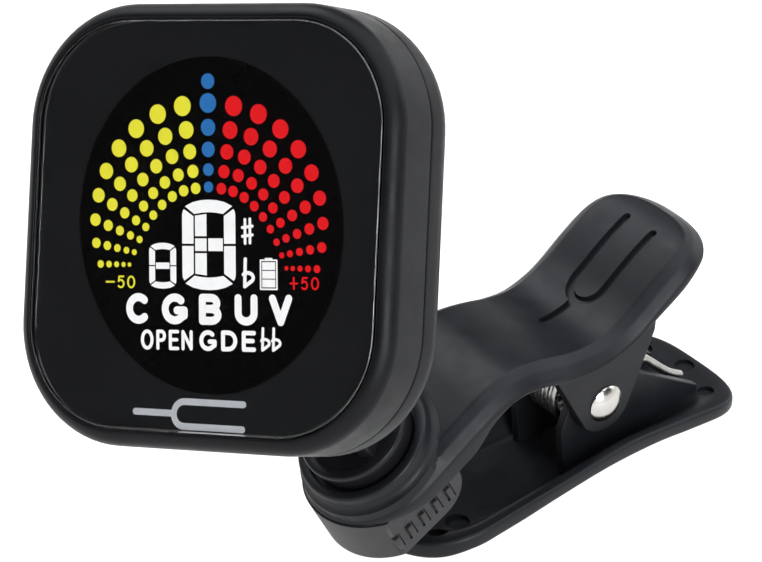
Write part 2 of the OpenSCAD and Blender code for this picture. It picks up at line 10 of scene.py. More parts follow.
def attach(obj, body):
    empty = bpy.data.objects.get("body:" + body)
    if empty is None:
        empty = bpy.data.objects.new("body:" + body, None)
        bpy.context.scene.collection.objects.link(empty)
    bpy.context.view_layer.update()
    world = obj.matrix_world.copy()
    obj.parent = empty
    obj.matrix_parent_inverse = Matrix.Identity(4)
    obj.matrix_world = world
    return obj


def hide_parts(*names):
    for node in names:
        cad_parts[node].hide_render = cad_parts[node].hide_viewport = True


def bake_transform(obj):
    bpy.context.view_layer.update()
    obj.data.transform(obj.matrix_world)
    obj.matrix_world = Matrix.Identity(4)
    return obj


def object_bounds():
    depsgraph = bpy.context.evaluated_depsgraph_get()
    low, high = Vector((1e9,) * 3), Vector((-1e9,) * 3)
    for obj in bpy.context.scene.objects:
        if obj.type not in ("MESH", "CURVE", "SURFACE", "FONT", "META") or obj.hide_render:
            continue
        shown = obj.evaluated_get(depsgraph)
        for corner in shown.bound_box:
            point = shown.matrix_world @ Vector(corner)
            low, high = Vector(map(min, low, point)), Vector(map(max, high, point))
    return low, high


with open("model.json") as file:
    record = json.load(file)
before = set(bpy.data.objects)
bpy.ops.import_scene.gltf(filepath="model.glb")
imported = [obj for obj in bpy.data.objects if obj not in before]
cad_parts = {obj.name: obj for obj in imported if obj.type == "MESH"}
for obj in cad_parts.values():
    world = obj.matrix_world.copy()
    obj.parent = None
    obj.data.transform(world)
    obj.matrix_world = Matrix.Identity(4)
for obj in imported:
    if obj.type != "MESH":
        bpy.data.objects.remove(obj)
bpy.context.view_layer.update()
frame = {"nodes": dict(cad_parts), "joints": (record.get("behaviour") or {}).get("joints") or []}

MM = 0.001
joints = {j["name"]: j for j in frame["joints"]}


# ---------------------------------------------------------------- frames, from the record's joints

def placed(origin, x, z):
    """The matrix of a frame: its origin in metres and its local millimetres turned to x and z."""
    x, z = Vector(x).normalized(), Vector(z).normalized()
    y = z.cross(x)
    turn = Matrix((x, y, z)).transposed().to_4x4()
    return Matrix.Translation(origin) @ turn @ Matrix.Scale(MM, 4)


PART = Matrix.Scale(MM, 4)
HINGE_UP = Vector((0, -10.5, -17))  # the upper hinge's axis, in the head's own millimetres
swivel_axis = joints["swivel"]["axis"]
table_at = Vector(joints["swivel"]["pos_m"])
tilt_axis = joints["upper_tilt"]["axis"]
head_turn = placed((0, 0, 0), tilt_axis, joints["power_press"]["axis"])
head_at = Vector(joints["upper_tilt"]["pos_m"]) - head_turn @ HINGE_UP
HEAD = Matrix.Translation(head_at) @ head_turn
BOSS = placed(table_at, (1, 0, 0), swivel_axis)
TABLE = placed(table_at, joints["lower_tilt"]["axis"], swivel_axis)
PIVOT_Y, PIVOT_Z = (v / MM for v in joints["jaw_hinge"]["pos_m"][1:])
SLOPE = math.atan2(-swivel_axis[1], swivel_axis[2])
TABLE_Y, TABLE_Z = (v / MM for v in table_at[1:])


# ---------------------------------------------------------------- materials

class Nodes:
    """A material's node tree, with short calls for the nodes used here."""

    def __init__(self, name):
        self.material = bpy.data.materials.new(name)
        self.material.use_nodes = True
        self.tree = self.material.node_tree
        self.shader = self.tree.nodes["Principled BSDF"]
        self.place = self.tree.nodes.new("ShaderNodeTexCoord").outputs["Object"]

    def add(self, kind, **sockets):
        node = self.tree.nodes.new(kind)
        for key, value in sockets.items():
            self.feed(node.inputs[key.replace("_", " ")], value)
        return node

    def feed(self, socket, value):
        if isinstance(value, bpy.types.NodeSocket):
            self.tree.links.new(value, socket)
        else:
            socket.default_value = value

    def noise(self, per_mm, detail=3.0, rough=0.6, stretch=None):
        vector = self.place
        if stretch:
            vector = self.add("ShaderNodeMapping", Vector=vector, Scale=stretch).outputs["Vector"]
        cloud = self.add("ShaderNodeTexNoise", Vector=vector, Scale=per_mm / MM, Detail=detail,
                         Roughness=rough)
        return cloud.outputs["Fac"]

    def spread(self, value, low, high, from_low=0.3, from_high=0.7):
        node = self.add("ShaderNodeMapRange")
        for i, v in enumerate((value, from_low, from_high, low, high)):
            self.feed(node.inputs[i], v)
        return node.outputs["Result"]

    def tint(self, value, low, high):
        node = self.tree.nodes.new("ShaderNodeMix")
        node.data_type = "RGBA"
        self.feed(node.inputs["Factor"], value)
        self.feed(node.inputs[6], (*low, 1))
        self.feed(node.inputs[7], (*high, 1))
        return node.outputs[2]

    def bump(self, height, depth_mm, strength=1.0, under=None):
        node = self.add("ShaderNodeBump", Height=height, Distance=depth_mm * MM, Strength=strength)
        if under is not None:
            self.feed(node.inputs["Normal"], under)
        return node.outputs["Normal"]

    def set(self, **sockets):
        for key, value in sockets.items():
            self.feed(self.shader.inputs[key.replace("_", " ")], value)
        return self.material


def moulded(name, dark, light, rough, grain_per_mm=5.0, grain_mm=0.012, swing=0.07, specular=0.3):
    """Moulded plastic: a fine spark-eroded grain, faint flow marks and handled patches."""
    n = Nodes(name)
    patches = n.noise(0.12, 4.0)
    grain = n.noise(grain_per_mm, 2.0, 0.75)
    tone = n.tint(n.spread(patches, 0.0, 1.0), dark, light)
    dusty = n.tint(n.spread(grain, 0.0, 0.35, 0.45, 0.8), (0, 0, 0), light)
    mixed = n.tree.nodes.new("ShaderNodeMix")
    mixed.data_type, mixed.blend_type = "RGBA", "ADD"
    n.feed(mixed.inputs["Factor"], 0.25)
    n.feed(mixed.inputs[6], tone)
    n.feed(mixed.inputs[7], dusty)
    worn = n.spread(n.noise(0.35, 5.0), rough - swing, rough + swing)
    return n.set(Base_Color=mixed.outputs[2], Roughness=worn, Normal=n.bump(grain, grain_mm, 0.35),
                 Specular_IOR_Level=specular, IOR=1.4)


def metal(name, dark, light, rough, brush_mm=0.004, stretch=(1, 1, 1), per_mm=2.5, part=1.0):
    """Plated or brushed metal with hairline scratches; part is its share of metal, low for silver ink."""
    n = Nodes(name)
    lines = n.noise(per_mm, 6.0, 0.7, stretch)
    stain = n.noise(0.2, 3.0)
    return n.set(Base_Color=n.tint(n.spread(stain, 0.0, 1.0), dark, light), Metallic=part,
                 Roughness=n.spread(lines, rough * 0.7, rough * 1.3), Normal=n.bump(lines, brush_mm, 0.4))


def rubber(name, dark, light, rough, sheen):
    """Matt rubber: a powdery surface with a soft sheen and tiny pits."""
    n = Nodes(name)
    powder = n.noise(7.0, 4.0, 0.8)
    cloud = n.noise(0.3, 4.0)
    pits = n.add("ShaderNodeTexVoronoi", Vector=n.place, Scale=3.0 / MM).outputs["Distance"]
    skin = n.bump(pits, 0.01, 0.3)
    return n.set(Base_Color=n.tint(n.spread(cloud, 0.0, 1.0), dark, light),
                 Roughness=n.spread(powder, rough - 0.1, rough + 0.1), Sheen_Weight=sheen,
                 Sheen_Roughness=0.6, Normal=n.bump(powder, 0.012, 0.4, skin))


def glowing(name, colour, strength):
    """A lit display element, slightly uneven as its light guide is."""
    n = Nodes(name)
    glow = n.noise(0.8, 2.0)
    shade = n.tint(n.spread(glow, 0.0, 1.0), tuple(0.94 * c for c in colour), colour)
    return n.set(Base_Color=(0.01, 0.01, 0.01, 1), Roughness=0.4, Specular_IOR_Level=0.0,
                 Emission_Color=shade, Emission_Strength=strength)


def window_clear(name):
    """Clear acrylic with a faint smoke tint and the dullest trace of wiping."""
    n = Nodes(name)
    wiped = n.noise(0.25, 3.0, 0.5, (1, 5, 1))
    return n.set(Base_Color=(0.97, 0.975, 0.985, 1), Transmission_Weight=1.0, IOR=1.45,
                 Roughness=n.spread(wiped, 0.012, 0.022))


def board_mask(name):
    """Green solder mask over copper tracks that run in parallel lanes."""
    n = Nodes(name)
    lanes = n.add("ShaderNodeTexBrick", Vector=n.place, Scale=0.55 / MM)
    for key, value in (("Color1", (1, 1, 1, 1)), ("Color2", (0.8, 0.8, 0.8, 1)), ("Mortar", (0, 0, 0, 1))):
        lanes.inputs[key].default_value = value
    lanes.inputs["Mortar Size"].default_value = 0.06
    track = lanes.outputs["Color"]
    return n.set(Base_Color=n.tint(track, (0.02, 0.2, 0.07), (0.008, 0.09, 0.03)), Roughness=0.32,
                 Normal=n.bump(track, 0.03, 0.5), Coat_Weight=0.3)


def ribbon_film(name):
    """Amber film with fine copper lanes side by side."""
    n = Nodes(name)
    wave = n.add("ShaderNodeTexWave", Vector=n.place, Scale=0.6 / MM, Distortion=0.0)
    lanes = wave.outputs["Fac"]
    return n.set(Base_Color=n.tint(lanes, (0.45, 0.16, 0.03), (0.75, 0.32, 0.09)), Roughness=0.28,
                 Coat_Weight=0.5, Normal=n.bump(lanes, 0.01, 0.5))


def pouch_foil(name):
    """Aluminium laminate, dented and crinkled at the pouch's seams."""
    n = Nodes(name)
    crinkle = n.noise(0.6, 5.0, 0.7)
    return n.set(Base_Color=n.tint(crinkle, (0.5, 0.51, 0.53), (0.78, 0.79, 0.8)), Metallic=0.9,
                 Roughness=n.spread(crinkle, 0.22, 0.42), Normal=n.bump(crinkle, 0.12, 0.5))


SATIN = (0.005, 0.005, 0.006), (0.009, 0.0092, 0.0105)
MATERIALS = {
    "case_black": moulded("case_satin_black", (0.003, 0.0031, 0.0037), (0.0056, 0.0059, 0.007), 0.38,
                          5.5, 0.05, specular=0.18),
    "clip_black": moulded("clip_satin_black", (0.005, 0.0052, 0.0065), (0.009, 0.0095, 0.0115), 0.42,
                          6.5, 0.008),
    "arm_black": moulded("arm_satin_black", *SATIN, 0.42, 6.0, 0.010),
    "turntable_black": moulded("turntable_satin_black", *SATIN, 0.36, 6.0, 0.008),
    "mask_dark": moulded("printed_mask", (0.0155, 0.0158, 0.0165), (0.018, 0.0183, 0.0192), 0.35,
                         8.0, 0.0, specular=0.05),
    "badge_silver": metal("emblem_silver", (0.84, 0.85, 0.86), (0.92, 0.93, 0.94), 0.5, 0.002, (1, 8, 1),
                          part=0.2),
    "display": moulded("display_black", (0.0012, 0.0006, 0.001), (0.0016, 0.0009, 0.0013), 0.3, 8.0, 0.0,
                       specular=0.05),
    "white_plastic": moulded("diffuser_white", (0.7, 0.7, 0.67), (0.8, 0.8, 0.78), 0.5),
    "chip_black": moulded("epoxy_black", (0.018, 0.018, 0.02), (0.03, 0.03, 0.032), 0.6, 9.0, 0.02),
    "tape_black": moulded("foam_tape", (0.02, 0.02, 0.02), (0.04, 0.04, 0.04), 0.9, 3.0, 0.08),
    "lead_red": moulded("lead_red", (0.36, 0.012, 0.014), (0.5, 0.03, 0.03), 0.35, 2.0, 0.02),
    "lead_black": moulded("lead_black", (0.02, 0.02, 0.02), (0.035, 0.035, 0.035), 0.35, 2.0, 0.02),
    "washer_fibre": moulded("washer_fibre", (0.2, 0.12, 0.05), (0.36, 0.24, 0.12), 0.8, 3.0, 0.05),
    "steel": metal("plated_steel", (0.48, 0.49, 0.51), (0.62, 0.63, 0.65), 0.26, 0.005, (1, 6, 1)),
    "rivet_chrome": metal("rivet_chrome", (0.5, 0.48, 0.45), (0.62, 0.6, 0.57), 0.2, 0.002),
    "spring_steel": metal("spring_bright", (0.3, 0.29, 0.275), (0.44, 0.43, 0.41), 0.3, 0.006, (6, 1, 1),
                          3.0),
    "piezo_brass": metal("piezo_brass", (0.62, 0.42, 0.13), (0.8, 0.6, 0.25), 0.3, 0.006, (5, 1, 1)),
    "button_rubber": rubber("button_rubber", (0.012, 0.012, 0.013), (0.02, 0.02, 0.022), 0.6, 0.08),
    "pad_rubber": rubber("pad_rubber", (0.006, 0.006, 0.0065), (0.012, 0.012, 0.013), 0.6, 0.05),
    "panel_gloss": window_clear("window_acrylic"),
    "board_green": board_mask("solder_mask"),
    "ribbon_amber": ribbon_film("ribbon_film"),
    "foil_silver": pouch_foil("pouch_foil"),
}
GLOW = {
    "white": glowing("display_white", (1.0, 1.0, 1.0), 1.05),
    "yellow": glowing("display_yellow", (0.87, 0.82, 0.045), 1.0),
    "red": glowing("display_red", (0.82, 0.008, 0.012), 1.0),
    "blue": glowing("display_blue", (0.024, 0.17, 0.48), 1.0),
}


# ---------------------------------------------------------------- mesh tools

def built(name, verts, faces, place):
    """An object from millimetre points in the given frame, its faces turned outwards."""
    mesh = bpy.data.meshes.new(name)
    mesh.from_pydata([place @ Vector(v) for v in verts], [], faces)
    work = bmesh.new()
    work.from_mesh(mesh)
    bmesh.ops.remove_doubles(work, verts=work.verts, dist=0.0005 * MM)
    bmesh.ops.recalc_face_normals(work, faces=work.faces)
    if work.calc_volume(signed=True) < 0:
        bmesh.ops.reverse_faces(work, faces=work.faces)
    work.to_mesh(mesh)
    work.free()
    thing = bpy.data.objects.new(name, mesh)
    bpy.context.scene.collection.objects.link(thing)
    return thing


def loft(rings, closed=False, cap=True):
    """Points and faces of a skin through closed rings of equal length."""
    n = len(rings[0])
    verts = [p for ring in rings for p in ring]
    faces = []
    for i in range(len(rings) if closed else len(rings) - 1):
        a, b = i * n, (i + 1) % len(rings) * n
        faces += [(a + k, a + (k + 1) % n, b + (k + 1) % n, b + k) for k in range(n)]
    if cap and not closed:
        faces += [tuple(range(n)), tuple(range(len(verts) - n, len(verts)))]
    return verts, faces


def arc_steps(start, end, count):
    """Angles from start to end, given in degrees, with count steps between them."""
    return [math.radians(start + (end - start) * k / count) for k in range(count + 1)]


def arc(cx, cy, rx, ry, start, end, steps=12):
    """Points of an arc about (cx, cy); a negative radius mirrors it."""
    return [(cx + rx * math.cos(a), cy + ry * math.sin(a)) for a in arc_steps(start, end, steps)]


def lathe(profile, sides=72):
    """Rings of a profile of (radius, height) turned about z."""
    turn = [2 * math.pi * k / sides for k in range(sides)]
    return [[(r * math.cos(a), r * math.sin(a), z) for a in turn] for r, z in profile]


def applied(thing, kind, **values):
    """Adds a modifier and applies it."""
    mod = thing.modifiers.new(kind.lower(), kind)
    for key, value in values.items():
        setattr(mod, key, value)
    bpy.context.view_layer.update()
    graph = bpy.context.evaluated_depsgraph_get()
    mesh = bpy.data.meshes.new_from_object(thing.evaluated_get(graph))
    thing.modifiers.clear()
    thing.data = mesh


def combine(thing, others, operation):
    """Joins the other solids to a piece, or cuts them out of it."""
    for other in others:
        applied(thing, "BOOLEAN", object=other, operation=operation, solver="MANIFOLD")
        bpy.data.objects.remove(other)


def rounded_edges(thing, width, sharp=32, steps=2):
    """Rounds a piece's sharp edges by a small radius, in millimetres."""
    applied(thing, "BEVEL", width=width * MM, segments=steps, limit_method="ANGLE",
            angle_limit=math.radians(sharp), harden_normals=False, use_clamp_overlap=True, loop_slide=True)


def smoothed(thing, sharp=38):
    """Smooth shading that keeps the sharp edges sharp and the flat faces flat."""
    thing.data.shade_smooth()
    thing.data.set_sharp_from_angle(angle=math.radians(sharp))
    mod = thing.modifiers.new("even", "WEIGHTED_NORMAL")
    mod.keep_sharp = True
    mod.weight = 60


def dressed(thing, slot, nodes=(), look=None, sharp=38):
    """Gives a piece its material and normals, and hides the CAD nodes it stands for."""
    thing.data.materials.clear()
    thing.data.materials.append(look or MATERIALS[slot])
    smoothed(thing, sharp)
    if nodes:
        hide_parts(*nodes)
    return thing


def finished(thing, body, slot, nodes=(), look=None, sharp=38):
    """Dresses a piece and rides it on its body."""
    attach(dressed(thing, slot, nodes, look, sharp), body)


def softened(node, width, sharp=32, steps=2):
    """A CAD solid's own shape with its points joined and its sharp edges rounded."""
    work = bmesh.new()
    work.from_mesh(frame["nodes"][node].data)
    bmesh.ops.remove_doubles(work, verts=work.verts, dist=0.002 * MM)
    bmesh.ops.dissolve_limit(work, angle_limit=math.radians(0.4), verts=work.verts, edges=work.edges)
    mesh = bpy.data.meshes.new(node + "_finished")
    work.to_mesh(mesh)
    work.free()
    thing = bpy.data.objects.new(node + "_finished", mesh)
    bpy.context.scene.collection.objects.link(thing)
    rounded_edges(thing, width, sharp, steps)
    return thing


def refined(node, body, slot, width, steps=2):
    """A CAD piece with softened edges, ridden on its body in place of the CAD node."""
    finished(softened(node, width, steps=steps), body, slot, [node])


def plate(outline, low, high, place, name="part"):
    """A flat outline of (x, y) points made thick from low to high along z."""
    rings = [[(x, y, z) for x, y in outline] for z in (low, high)]
    return built(name, *loft(rings), place)


def ear_pair(outline, inner, outer, place, soft, sharp=40):
    """Two upright plates, one on each side of x = 0: an outline of (y, z) points from inner to outer."""
    pair = []
    for side in (-1, 1):
        low, high = sorted((side * inner, side * outer))
        rings = [[(x, y, z) for y, z in outline] for x in (low, high)]
        ear = built("ear", *loft(rings), place)
        rounded_edges(ear, soft, sharp, 3)
        pair.append(ear)
    return pair


def rod(radius, low, high, place, sides=48):
    """A cylinder about z."""
    return built("rod", *loft(lathe([(radius, low), (radius, high)], sides)), place)


def across(place, y, z):
    """A frame whose z runs along the given frame's x, through (y, z)."""
    return place @ Matrix.Translation((0, y, z)) @ Matrix.Rotation(math.pi / 2, 4, "Y")


def smooth_curve(points, per_step):
    """A curve through points of any size, with per_step steps between neighbours."""
    out = []
    last = len(points) - 1
    for i in range(last):
        a, b, c, d = (points[min(max(i + k, 0), last)] for k in (-1, 0, 1, 2))
        for k in range(per_step):
            t = k / per_step
            out.append(tuple(
                0.5 * (2 * q + (r - p) * t + (2 * p - 5 * q + 4 * r - s) * t * t
                       + (3 * q - p - 3 * r + s) * t ** 3)
                for p, q, r, s in zip(a, b, c, d)))
    return out + [tuple(points[-1])]


def at(table, y):
    """The other columns of a table at y, between its rows."""
    y = min(max(y, table[0][0]), table[-1][0])
    for low, high in zip(table, table[1:]):
        if y <= high[0]:
            t = (y - low[0]) / max(high[0] - low[0], 1e-9)
            return [a + (b - a) * t for a, b in zip(low[1:], high[1:])]
    return list(table[-1][1:])


# ---------------------------------------------------------------- head

CASE_HALF = 23.9
CASE_R = 13.3
HEAD_D = 12.0
SEAM_D = 7.0
WALL = 1.6
POSTS = [(x * 16.9, y * 16.9) for x in (-1, 1) for y in (-1, 1)]
BUTTON_AT = {"power": -9.5, "mode": 0.0, "pitch": 9.5}
BUTTON_Y = 13.5
BUTTON_R = 2.6
EAR_IN, EAR_OUT, EAR_R = 2.05, 4.1, 3.5
PIN_R = 1.0


def rounded_square(half, radius, z, per_corner=18):
    """A ring at height z: a square whose corners are arcs."""
    ring = []
    for corner in range(4):
        cx = (half - radius) * (1 if corner in (0, 3) else -1)
        cy = (half - radius) * (1 if corner < 2 else -1)
        for k in range(per_corner + 1):
            a = math.radians(90 * (corner + k / per_corner))
            ring.append((cx + radius * math.cos(a), cy + radius * math.sin(a), z))
    return ring


def case_ring(inset, z):
    """The case's outline, drawn in by an inset."""
    return rounded_square(CASE_HALF - inset, CASE_R - inset, z)


def usb_cutter():
    """A slot with round ends, for the charging socket in the case's left side."""
    half_w, half_t = 4.55, 1.65
    outline = []
    for side in (1, -1):
        outline += arc(side * (half_w - half_t), 0, side * half_t, side * half_t, -90, 90, 10)
    place = HEAD @ Matrix.Translation((-26, 3, -7.4)) @ Matrix.Rotation(math.pi / 2, 4, "X")
    place = place @ Matrix.Rotation(math.pi / 2, 4, "Y")
    return plate(outline, -1, 5, place)


def front_shell():
    """The front half: a thin lip round the window, a soft rounding and a seam at its back edge."""
    rim = 2.1
    profile = [(3.4, -1.9), (3.4, -1.38), (1.78, -1.38), (1.78, -0.34), (1.74, -0.2), (1.66, -0.11)]
    profile += [(rim - rim * math.sin(a), -rim + rim * math.cos(a)) for a in arc_steps(16, 90, 12)]
    profile += [(0, -SEAM_D + 0.22), (0.1, -SEAM_D + 0.06), (0.3, -SEAM_D), (WALL, -SEAM_D), (WALL, -1.9)]
    shell = built("front_shell_finished", *loft([case_ring(d, z) for d, z in profile], closed=True), HEAD)
    combine(shell, [usb_cutter()], "DIFFERENCE")
    post = loft(lathe([(2.0, -1.95), (2.0, -SEAM_D), (0.8, -SEAM_D), (0.8, -3.0)], 32))
    posts = [built("post", *post, HEAD @ Matrix.Translation((x, y, 0))) for x, y in POSTS]
    combine(shell, posts, "UNION")
    finished(shell, "head", "case_black", ["front_shell"])


def rear_shell():
    """The back half, with the hinge ears, the button holes and four sunk screws."""
    rim = 3.2
    profile = [(0.3, -SEAM_D), (0.1, -SEAM_D - 0.06), (0, -SEAM_D - 0.22)]
    profile += [(rim - rim * math.cos(a), -HEAD_D + rim - rim * math.sin(a)) for a in arc_steps(0, 90, 14)]
    profile += [(rim + 3, -HEAD_D)]
    outer = [case_ring(d, z) for d, z in profile]
    floor = -HEAD_D + WALL
    inner = [(WALL + 3, floor), (WALL + 0.8, floor), (WALL + 0.25, floor + 0.2), (WALL, floor + 0.8)]
    inner += [(WALL, -SEAM_D)]
    rings = [case_ring(d, z) for d, z in inner]
    shell = built("rear_shell_finished", *loft(rings + outer), HEAD)
    ear = arc(HINGE_UP.y, HINGE_UP.z, EAR_R, EAR_R, -180, 0, 20)
    ear += [(HINGE_UP.y + EAR_R, -HEAD_D - 0.9), (HINGE_UP.y + EAR_R + 0.6, -HEAD_D + 0.5)]
    ear += [(HINGE_UP.y - EAR_R - 0.6, -HEAD_D + 0.5), (HINGE_UP.y - EAR_R, -HEAD_D - 0.9)]
    ears = ear_pair(ear, EAR_IN, EAR_OUT, HEAD, 0.35)
    posts = [rod(2.6, floor - 0.4, -SEAM_D, HEAD @ Matrix.Translation((x, y, 0)), 32) for x, y in POSTS]
    combine(shell, ears + posts, "UNION")
    cuts = [usb_cutter(), rod(PIN_R, -6, 6, across(HEAD, HINGE_UP.y, HINGE_UP.z), 32)]
    bore = BUTTON_R + 0.15
    hole = loft(lathe([(bore + 0.25, -HEAD_D - 0.2), (bore, -HEAD_D + 0.2), (bore, floor + 1)]))
    cuts += [built("hole", *hole, HEAD @ Matrix.Translation((x, BUTTON_Y, 0))) for x in BUTTON_AT.values()]
    profile = [(2.3, -HEAD_D - 0.2), (2.0, -HEAD_D + 0.25), (2.0, floor), (1.1, floor), (1.1, -6)]
    sink = loft(lathe(profile, 40))
    cuts += [built("sink", *sink, HEAD @ Matrix.Translation((x, y, 0))) for x, y in POSTS]
    combine(shell, cuts, "DIFFERENCE")
    finished(shell, "head", "case_black", ["rear_shell"])


def front_window():
    """The clear acrylic front, its upper edge polished round."""
    half, radius = 22.0, 11.4
    profile = [(0.12, -1.2), (0, -1.1), (0, -0.24), (0.05, -0.1), (0.16, -0.02), (0.3, 0)]
    rings = [rounded_square(half - d, radius - d, z) for d, z in profile]
    finished(built("front_window", *loft(rings), HEAD), "head", "panel_gloss", ["front_panel"])


def buttons():
    """Three rubber keys, each a dished cap over a flange and a plunger."""
    top = -HEAD_D - 0.5
    under, flange, foot = -10.3, -9.5, -7.9
    profile = [(0, top + 0.24), (0.8, top + 0.2), (1.5, top + 0.08), (1.9, top), (2.2, top + 0.02)]
    profile += [(2.45, top + 0.12), (BUTTON_R, top + 0.35), (BUTTON_R, under), (3.3, under), (3.3, flange)]
    profile += [(1.2, flange), (1.2, foot), (0, foot)]
    shape = loft(lathe(profile), cap=False)
    for name, x in BUTTON_AT.items():
        key = built(name + "_key", *shape, HEAD @ Matrix.Translation((x, BUTTON_Y, 0)))
        finished(key, name + "_key", "button_rubber", [name + "_button"])


def fork_outlines(half, spread, bend, tip, foot):
    """A tuning fork that points along y: its two prongs joined in a bend, and its stem."""
    inner, outer = spread - half, spread + half
    band = arc(-spread, tip, -half, half, 0, 180, 10) + arc(0, bend, -inner, -inner, 0, 180, 28)
    band += arc(spread, tip, -half, half, 0, 180, 10) + arc(0, bend, outer, -outer, 0, 180, 28)
    stem = arc(0, bend - spread, half, half, 0, 180) + arc(0, foot, half, half, 180, 360)
    return [band, stem]


# ---------------------------------------------------------------- display

ART_Z = -1.45
ART_T = 0.03
ART_LEAN = -0.065
FAN_Y = -0.6
MASK_Z = -1.23


def art_frame(centre, rise, depth):
    """The artwork's own upright frame: it leans a little in the head, and its rows rise to the right."""
    return HEAD @ Matrix(((1, ART_LEAN, 0, centre), (rise, 1, 0, 0), (0, 0, 1, depth), (0, 0, 0, 1)))


DOTS = art_frame(0.34, 0.009, ART_Z)
LEGEND = art_frame(0.34, 0.023, ART_Z)


def printed_mask():
    """The dark print behind the window, open in an upright oval round the display."""
    outline = [(x, y) for x, y, _ in rounded_square(21.95, 11.35, 0)]
    mask = plate(outline, MASK_Z - 0.2, MASK_Z, HEAD, "panel_mask_finished")
    oval = arc(0, 0.18, 16.95, 17.98, 0, 360, 120)[:-1]
    combine(mask, [plate(oval, -1, 1, art_frame(0.47, 0.009, MASK_Z))], "DIFFERENCE")
    finished(mask, "head", "mask_dark", ["panel_mask"])
    place = HEAD @ Matrix.Translation((-0.7, -20, MASK_Z)) @ Matrix.Rotation(-math.pi / 2, 4, "Z")
    band, stem = (plate(o, 0.002, 0.02, place) for o in fork_outlines(0.36, 1.32, -0.9, 6.6, -7.2))
    band.name = "badge_print"
    combine(band, [stem], "UNION")
    finished(band, "head", "badge_silver", ["badge_inlay"])


def printed(name, outlines, place, colour):
    """Flat elements of one colour on the display's face."""
    verts, faces = [], []
    for outline in outlines:
        start, n = len(verts), len(outline)
        verts += [(x, y, z) for z in (0, ART_T) for x, y in outline]
        faces += [tuple(range(start, start + n)), tuple(range(start + n, start + 2 * n))]
        for k in range(n):
            follower = start + (k + 1) % n
            faces.append((start + k, follower, n + follower, n + start + k))
    finished(built(name, verts, faces, place), "head", "display", look=GLOW[colour], sharp=30)


def disc(x, y, diameter, sides=28):
    """The outline of a round dot."""
    return arc(x, y, diameter / 2, diameter / 2, 0, 360, sides)[:-1]


def meter_dots():
    """Five arcs of nine dots on each side, growing upwards and outwards, and the centre column."""
    sides = {-1: [], 1: []}
    for j in range(9):
        outer_a = math.radians(13.75 + 13.73 * j - 0.296 * j * j)
        inner_a = math.radians(19.5 + 17.04 * j - 0.72 * j * j)
        outer = Vector((math.sin(outer_a), math.cos(outer_a))) * (13.85 + 0.34 * j - 0.035 * j * j)
        inner = Vector((math.sin(inner_a), math.cos(inner_a))) * (4.95 + 0.43 * j + 0.036 * j * j)
        big = 2.15 - 0.03 * j - 0.017 * j * j
        small = 1.22 - 0.01 * j - 0.0105 * j * j
        for t in (0, 0.291, 0.555, 0.794, 1):
            spot = outer.lerp(inner, t)
            for side, discs in sides.items():
                discs.append(disc(side * spot.x - 0.035 * j, FAN_Y + spot.y, big + (small - big) * t))
    column = [(15.5, 1.67), (13.18, 2.1), (10.58, 1.81), (8.23, 1.64), (6.08, 1.34), (4.23, 1.16)]
    printed("display_dots_flat", sides[-1], DOTS, "yellow")
    printed("display_dots_sharp", sides[1], DOTS, "red")
    printed("display_dots_tuned", [disc(0, y, size) for y, size in column], DOTS, "blue")


def mirrored(outline, x_too, y_too):
    """An outline in a unit box, mirrored across either middle line."""
    out = [(1 - x if x_too else x, 1 - y if y_too else y) for x, y in outline]
    return out[::-1] if x_too != y_too else out


def box_of(x0, x1, y0, y1):
    """The outline of an upright box."""
    return [(x0, y0), (x1, y0), (x1, y1), (x0, y1)]


def digit(box, middle):
    """A segment digit in a box of (left, low, right, high): round ends, four sides and its middle bars."""
    end = [(0.055, 0.928), (0.2, 0.973), (0.35, 0.994), (0.5, 1), (0.65, 0.994), (0.8, 0.973)]
    end += [(0.945, 0.928), (0.77, 0.842), (0.64, 0.856), (0.5, 0.862), (0.36, 0.856), (0.23, 0.842)]
    side = [(0.035, 0.896), (0.008, 0.865), (0, 0.83), (0, 0.513), (0.212, 0.513), (0.212, 0.818)]
    shapes = [mirrored(end, False, low) for low in (False, True)]
    shapes += [mirrored(side, right, low) for right in (False, True) for low in (False, True)]
    left, low, right, high = box
    return [[(left + (right - left) * x, low + (high - low) * y) for x, y in s] for s in shapes + middle]


GLYPHS = {
    "C": [arc(0.52, 0.5, 0.52, 0.5, 48, 312, 20)],
    "G": [arc(0.5, 0.5, 0.5, 0.5, 48, 315, 20) + [(1, 0.22), (1, 0.44), (0.62, 0.44)]],
    "B": [[(0, 0), (0, 1)] + arc(0.55, 0.76, 0.38, 0.24, 90, -90) + [(0, 0.52)],
          [(0, 0)] + arc(0.55, 0.26, 0.45, 0.26, -90, 90) + [(0, 0.52)]],
    "U": [[(0, 1)] + arc(0.5, 0.36, 0.5, 0.36, 180, 360) + [(1, 1)]],
    "V": [[(0, 1), (0.5, 0), (1, 1)]],
    "O": [arc(0.5, 0.5, 0.5, 0.5, 90, 450, 28)],
    "P": [[(0, 0), (0, 1)] + arc(0.55, 0.74, 0.45, 0.26, 90, -90) + [(0, 0.48)]],
    "E": [[(1, 1), (0, 1), (0, 0), (1, 0)], [(0, 0.52), (0.88, 0.52)]],
    "N": [[(0, 0), (0, 1), (1, 0), (1, 1)]],
    "D": [[(0, 0), (0, 1)] + arc(0.42, 0.5, 0.58, 0.5, 90, -90, 16) + [(0, 0)]],
    "5": [[(0.9, 1), (0.22, 1), (0.12, 0.56)] + arc(0.47, 0.34, 0.47, 0.34, 130, -140, 16)],
    "-": [[(0, 0.5), (1, 0.5)]],
    "+": [[(0, 0.5), (1, 0.5)], [(0.5, 0), (0.5, 1)]],
    "sharp": [[(0.27, 0), (0.27, 0.98)], [(0.76, 0.02), (0.76, 1)], [(0, 0.29), (1, 0.35)],
              [(0, 0.65), (1, 0.71)]],
    "flat": [[(0.08, 1), (0, 0)] + arc(0.32, 0.32, 0.6, 0.18, -35, 140)],
}


